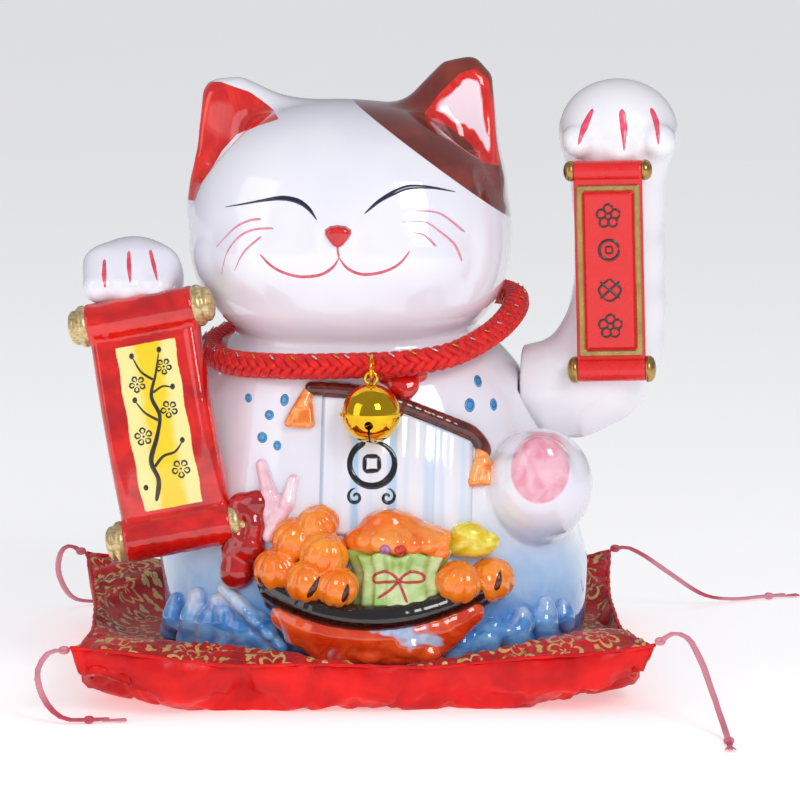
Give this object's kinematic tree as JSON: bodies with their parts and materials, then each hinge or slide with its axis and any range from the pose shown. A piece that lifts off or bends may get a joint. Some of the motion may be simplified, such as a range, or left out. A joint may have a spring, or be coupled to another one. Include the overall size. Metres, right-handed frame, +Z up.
{
  "type": "lucky cat figurine",
  "caption": "Glazed ceramic cat with a swinging arm, moulded treasure-ship relief, braided collar with bell, and a tasselled cushion.",
  "frame": {"origin": "centre of the cushion's flat underside, on the surface it stands on", "axes": "+Z up, the cat faces -Y, +X towards the swinging arm"},
  "size_m": [0.31, 0.3313, 0.2453],
  "materials": {
    "brocade": "jacquard weave",
    "satin": "satin",
    "fibre": "matte",
    "tassel_thread": "silky thread",
    "glaze_white": "gloss",
    "glaze_red": "gloss",
    "paint_gold": "satin",
    "glaze_orange_red": "gloss",
    "glaze_black": "gloss",
    "glaze_orange": "gloss",
    "glaze_green": "gloss",
    "glaze_yellow": "gloss",
    "glaze_coral": "gloss",
    "glaze_pink": "gloss",
    "glaze_sail": "gloss",
    "glaze_brown": "gloss",
    "glaze_blue": "gloss",
    "rope_braid": "braided",
    "gold_metal": "polished",
    "plastic_white": "gloss",
    "plastic_red": "gloss",
    "plastic_gold": "satin metallic paint",
    "plastic_ivory": "matte",
    "plastic_dark": "matte",
    "steel": "brushed",
    "magnet": "plated",
    "cell_jacket": "satin",
    "bronze_bush": "satin",
    "copper": "enamelled wire",
    "iron": "matte",
    "board": "solder mask",
    "lead_sleeve": "matte",
    "foam": "matte",
    "felt": "felt"
  },
  "bodies": {
    "cushion": {"cushion_filling": "fibre", "cushion_top_panel": "brocade", "cushion_bottom_panel": "satin", "tassel_front_left": "tassel_thread", "tassel_front_right": "tassel_thread", "tassel_back_left": "tassel_thread", "tassel_back_right": "tassel_thread"},
    "cat": {"ceramic_body": "glaze_white", "big_scroll": "glaze_red", "big_scroll_knobs": "paint_gold", "ship_hull": "glaze_orange_red", "ship_rail": "glaze_black", "oranges": "glaze_orange", "pouch": "glaze_green", "pouch_filling": "glaze_orange", "gold_ingot": "glaze_yellow", "red_coral": "glaze_coral", "pink_coral": "glaze_pink", "sail": "glaze_sail", "spar": "glaze_brown", "sail_tassels": "glaze_orange", "pennant": "glaze_red", "waves": "glaze_blue", "collar_rope": "rope_braid", "collar_clasp": "rope_braid", "jump_ring": "gold_metal", "base_plate": "plastic_ivory", "base_seal": "foam", "base_screws": "steel", "felt_pads": "felt", "battery_box": "plastic_ivory", "battery_contacts": "steel", "battery_cells": "cell_jacket", "switch_body": "plastic_dark", "movement_frame": "plastic_ivory", "bearing_bushes": "bronze_bush", "coil_bobbin": "plastic_dark", "coil_winding": "copper", "coil_core": "iron", "circuit_board": "board", "leads": "lead_sleeve"},
    "bell": {"bell_upper": "gold_metal", "bell_lower": "gold_metal", "bell_pellet": "steel"},
    "battery_door": {"battery_door": "plastic_ivory"},
    "switch_slider": {"switch_slider": "plastic_dark"},
    "arm": {"arm_front_shell": "plastic_white", "arm_back_shell": "plastic_white", "arm_scroll": "plastic_red", "arm_scroll_frame": "plastic_gold", "arm_scroll_knobs": "plastic_gold", "arm_hub": "plastic_ivory", "swing_shaft": "steel", "shaft_clips": "steel", "pendulum_lever": "plastic_ivory", "pendulum_weight": "steel", "pendulum_magnet": "magnet"}
  },
  "joints": [
    {"name": "cat_lift", "type": "slide", "parent": "cushion", "child": "cat", "axis": [0, 0, 1], "range_m": [0, 0.12]},
    {"name": "arm_swing", "type": "hinge", "parent": "cat", "child": "arm", "pos_m": [0.067, 0.004, 0.1125], "axis": [1, 0, 0], "range_deg": [-18, 18]},
    {"name": "bell_swing", "type": "hinge", "parent": "cat", "child": "bell", "pos_m": [0.0128, -0.0646, 0.1286], "axis": [1, 0, 0], "range_deg": [-30, 0]},
    {"name": "door_slide", "type": "slide", "parent": "cat", "child": "battery_door", "axis": [0, 1, 0], "range_m": [0, 0.009]},
    {"name": "switch_slide", "type": "slide", "parent": "cat", "child": "switch_slider", "axis": [0, 1, 0], "range_m": [0, 0.004]}
  ]
}
